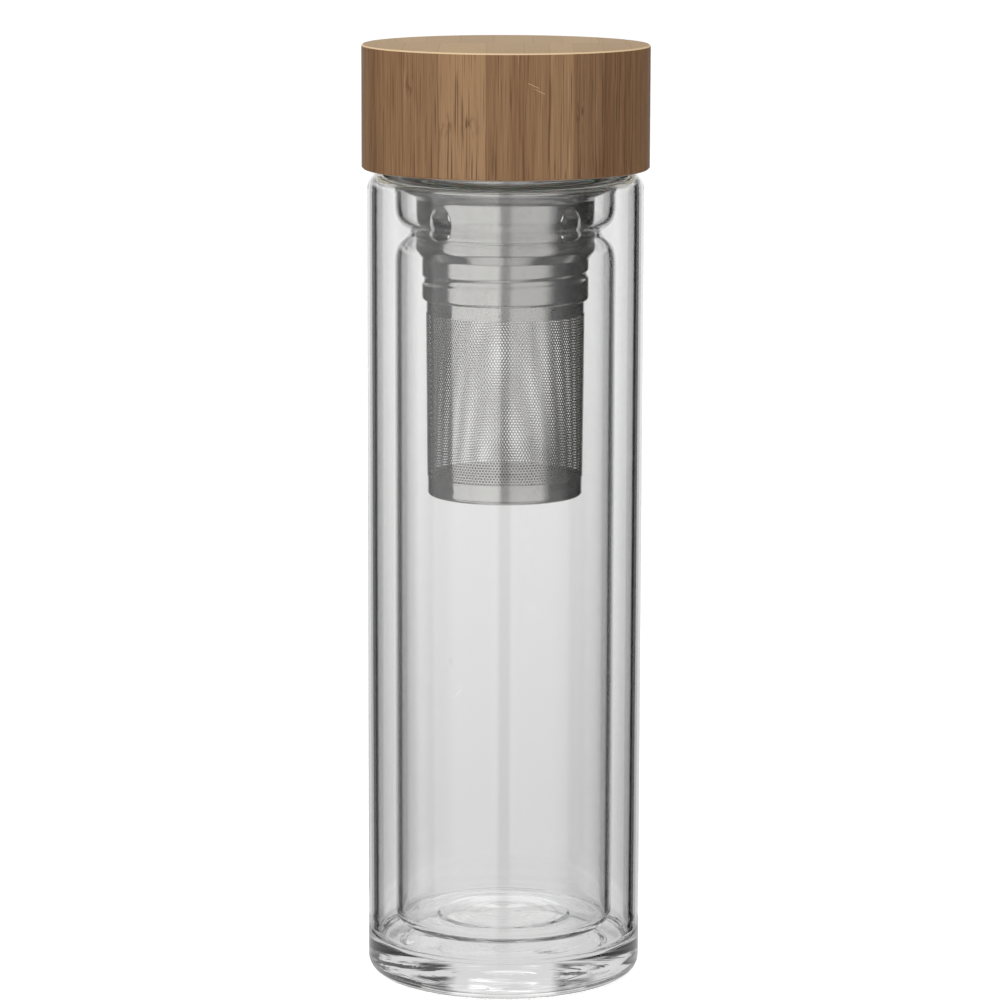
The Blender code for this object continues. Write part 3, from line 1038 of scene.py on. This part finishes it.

# The top face is tinted as end grain, with a painted sheen that makes it paler.
end_grain_and_sheen = spread(upward, 0.75, 0.95)
# The chamfer round the top edge is painted pale as a highlight.
chamfer_highlight = spread(upward, 0.3, 0.55) * spread(upward, 0.95, 0.80)
colour = tint(end_grain_and_sheen * 0.55, colour, end_grain_and_sheen_colour)
colour = tint(chamfer_highlight * 0.9, colour, highlight_and_scratch_colour)
# Faces that look down take raw grain, painted pale for bounced light.
colour = tint(spread(upward, -0.70, -0.95), colour, raw_grain_and_bounce_light_colour)
scratch_masks = []
for (from_x, from_z), (to_x, to_z) in scratches:
    length = math.dist((from_x, from_z), (to_x, to_z))
    along_x, along_z = (to_x - from_x) / length, (to_z - from_z) / length
    right = x - from_x
    up = z - from_z
    along = right * along_x + up * along_z
    beside = abs(right * along_z - up * along_x)
    inside = (along > 0.0) * (along < length)
    scratch_masks.append(inside * spread(beside, scratch_width, 0.0))
scratched = greatest(scratch_masks) * (y < 0.0)
colour = tint(scratched * 0.6, colour, highlight_and_scratch_colour)
feed(tree.nodes["Principled BSDF"],
     {"Specular IOR Level": 0.22,
      "Base Color": colour,
      "Roughness": spread(fine, 0.3, 0.7, 0.36, 0.52) + lines * 0.15,
      "Normal": bump(fine * 0.6 - (lines + scratched), 0.35, 0.00008)})

cap = turned("bamboo_cap_shell", [rounded([
    (0, cap_top_z, 0),
    (cap_radius - cap_top_chamfer, cap_top_z, chamfer_round),
    (cap_radius, cap_top_z - cap_top_chamfer, chamfer_round),
    (cap_radius, cap_bottom_z + cap_bottom_chamfer, chamfer_round),
    (cap_radius - cap_bottom_chamfer, cap_bottom_z, chamfer_round),
    (cap_bore_radius, cap_bottom_z, chamfer_round),
    (cap_bore_radius, cap_ceiling_z, chamfer_round),
    (0, cap_ceiling_z, 0),
], steps=4)], cap_columns)
made_plain(cap, bamboo)
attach(cap, "cap")
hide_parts("bamboo_cap")

# Camera
# It stands about a metre off and a little above the cap, and looks down slightly.

camera_place = Vector((-0.00116, -1.0539, 0.2979))
camera_pitch = math.radians(9.68)
camera_roll = math.radians(0.156)
camera_lens = 156.4
sensor_width = 36.0
camera = in_scene("camera", bpy.data.cameras.new("camera"))
camera.data.lens = camera_lens
camera.data.sensor_width = sensor_width
camera.data.clip_end = 100.0
camera.matrix_world = (Matrix.Translation(camera_place)
                       @ Euler((math.pi / 2 - camera_pitch, 0, 0)).to_matrix().to_4x4()
                       @ Matrix.Rotation(camera_roll, 4, "Z"))
bpy.context.scene.camera = camera
bpy.context.scene.view_settings.view_transform = "Standard"

# Studio
# A pale floor under white light. Glass and steel show a tent of pale cloth with dark
# panels beside the background, which draws their edges. The object stands as if on a
# turntable: tent and lamps keep their places beside the camera.

floor_size = 40.0
floor_drop = 0.0001
floor_shade = 0.88
floor_lift = 0.55
plate_radius = 0.055
plate_drop = 0.00005
plate_level = 0.68
plate_sides = 96
tent_radius = 3.0
tent_centre = Vector((0, 0, -1.075))
tent_columns = 96
tent_rows = 48
tent_bands = ((-180.0, 0.43), (-175.2, 0.43), (-172.0, 0.95), (-99.0, 0.95),
              (-96.0, 0.05), (-26.6, 0.05), (-25.6, 0.66), (-15.8, 0.66), (-14.0, 1.06),
              (-8.0, 1.06), (-5.0, 0.84), (5.0, 0.81), (8.0, 1.04), (14.0, 1.04),
              (15.8, 0.66), (25.6, 0.66), (26.6, 0.015), (109.0, 0.015), (126.0, 0.71),
              (172.0, 0.71), (175.2, 0.43), (180.0, 0.43))
tent_beyond = 0.68
tent_ceiling = 0.06
tent_clear_turn = 0.24
tent_clear_fade = 1.3
tent_back_edges = (-0.15, -0.40)
tent_streak_scale = 13.0
tent_streak_turn = 0.35
tent_streak_squeeze = 0.12
tent_streak_edges = (0.49, 0.56)
tent_low_share = 0.78
tent_low_edges = (-0.10, 0.05)
tent_edge_share = 0.35
tent_edge_top = (-0.64, -0.60)
tent_edge_foot = (-0.80, -0.86)
tent_above_share = 0.90
tent_above_edges = (0.30, 0.38)
tent_bounce_gain = 5.0
panel_top = 0.20
panel_foot = -0.45
panel_fade = 0.12
ceiling_height = 0.52
strip_light = 1.45
strip_foot = 0.325
strip_top = 0.355
strip_reach = 0.13
strip_fade = 0.05
lamps = (("key_lamp", (-0.9, 0.75, -0.05), 1.1, 9.0),
         ("fill_lamp", (1.1, 0.35, -0.25), 1.2, 3.0),
         ("top_lamp", (0.0, 1.35, -1.0), 1.4, 6.5))
world_level = 0.55
light_bounces = 24


def only_seen_by(item, glossy, diffuse, transmission, shadow, seen=False):
    """Which rays meet a studio piece."""
    item.visible_camera = seen
    item.visible_glossy = glossy
    item.visible_diffuse = diffuse
    item.visible_transmission = transmission
    item.visible_shadow = shadow


def shine(tree, values):
    """Make a surface only shine, in place of its Principled shader."""
    tree.nodes.remove(tree.nodes["Principled BSDF"])
    glow = add_node(tree, "ShaderNodeEmission", values)
    feed(tree.nodes["Material Output"], {"Surface": glow[0]})


def grey(level):
    """A neutral colour."""
    return (level, level, level, 1.0)


floor_material, tree = bare_material("studio_floor")
camera_ray = add_node(tree, "ShaderNodeLightPath")["Is Camera Ray"]
feed(tree.nodes["Principled BSDF"], {"Base Color": grey(floor_shade),
                                     "Roughness": 0.9,
                                     "Specular IOR Level": 0.0,
                                     "Emission Color": grey(1.0),
                                     "Emission Strength": camera_ray * floor_lift})
half_floor = floor_size / 2
floor = mesh_piece("studio_floor", [(x, y, -floor_drop) for x, y in
                                    ((-half_floor, -half_floor), (half_floor, -half_floor),
                                     (half_floor, half_floor), (-half_floor, half_floor))],
                   [(0, 1, 2, 3)])
floor.data.materials.append(floor_material)
only_seen_by(floor, glossy=False, diffuse=True, transmission=False, shadow=True, seen=True)

plate_material, tree = bare_material("studio_plate")
shine(tree, {"Strength": plate_level})
plate_turns = [math.tau * side / plate_sides for side in range(plate_sides)]
plate = mesh_piece("studio_plate", [(plate_radius * math.cos(turn),
                                     plate_radius * math.sin(turn), -plate_drop)
                                    for turn in plate_turns], [list(range(plate_sides))])
plate.data.materials.append(plate_material)
only_seen_by(plate, glossy=True, diffuse=False, transmission=True, shadow=False)

tent_material, tree = bare_material("studio_tent")
x, y, z = three_parts(add_node(tree, "ShaderNodeTexCoord")["Object"])
turn = reckon("ARCTAN2", x, z * -1.0)
bands = ramped(spread(turn, -math.pi, math.pi),
               [((angle + 180) / 360, level) for angle, level in tent_bands])
height = y / tent_radius
aside = abs(x) / tent_radius
back_half = spread(z / tent_radius, *tent_back_edges)
beyond = reckon("MAXIMUM", spread(height, panel_top, panel_top + panel_fade),
                spread(height, panel_foot, panel_foot - panel_fade))
streak_place = vector(turn * tent_streak_squeeze + tent_streak_turn, height, 0.0)
streak = noise_over(streak_place, tent_streak_scale, 2.0)
clear = spread(abs(turn), tent_clear_turn * tent_clear_fade, tent_clear_turn)
streaked = reckon("MAXIMUM", clear, spread(streak, *tent_streak_edges))
far_cloth = tint(streaked, grey(tent_ceiling), grey(tent_beyond))
cloth = tint(beyond * back_half, bands, far_cloth)
above = spread(height, ceiling_height, ceiling_height + panel_fade)
cloth = tint(above * (1.0 - clear) * back_half, cloth, grey(tent_ceiling))
lit = ((height > strip_foot) * (height < strip_top)
       * spread(aside, strip_reach + strip_fade, strip_reach, smooth=True))
cloth = tint(lit * back_half, cloth, grey(strip_light))
back_level = spread(height, *tent_low_edges, tent_low_share, 1.0)
front_edge = reckon("MAXIMUM", spread(height, *tent_edge_top, tent_edge_share, 1.0),
                    spread(height, *tent_edge_foot, tent_edge_share, 1.0))
front_level = front_edge * spread(height, *tent_above_edges, 1.0, tent_above_share)
gradient = back_level * back_half + front_level * (1.0 - back_half)
bounced = add_node(tree, "ShaderNodeLightPath")["Diffuse Depth"] > 0.5
gain = bounced * (tent_bounce_gain - 1.0) + 1.0
shine(tree, {"Color": cloth, "Strength": gradient * gain})
tent_turns = [math.pi * step / tent_rows for step in range(tent_rows + 1)]
tent = turned("studio_tent", [[(tent_radius * math.sin(turn), tent_radius * math.cos(turn))
                               for turn in tent_turns]], tent_columns)
made_plain(tent, tent_material)
tent.data.transform(Matrix.Rotation(-math.pi / 2, 4, "X"))
tent.parent = camera
tent.location = tent_centre
only_seen_by(tent, glossy=True, diffuse=False, transmission=True, shadow=False)

for name, lamp_place, lamp_size, lamp_power in lamps:
    light = bpy.data.lights.new(name, "AREA")
    light.size = lamp_size
    light.energy = lamp_power
    lamp = in_scene(name, light)
    aim = tent_centre - Vector(lamp_place)
    lamp.rotation_mode = "QUATERNION"
    lamp.rotation_quaternion = aim.to_track_quat("-Z", "Y")
    lamp.location = lamp_place
    lamp.parent = camera
    only_seen_by(lamp, glossy=False, diffuse=True, transmission=False, shadow=True)

for limit in ("max_bounces", "transmission_bounces", "glossy_bounces"):
    setattr(bpy.context.scene.cycles, limit, light_bounces)
world = bpy.data.worlds.new("studio_world")
world.use_nodes = True
bpy.context.scene.world = world
camera_ray = add_node(world.node_tree, "ShaderNodeLightPath")["Is Camera Ray"]
feed(world.node_tree.nodes["Background"],
     {"Color": grey(1.0), "Strength": camera_ray * (1.0 - world_level) + world_level})
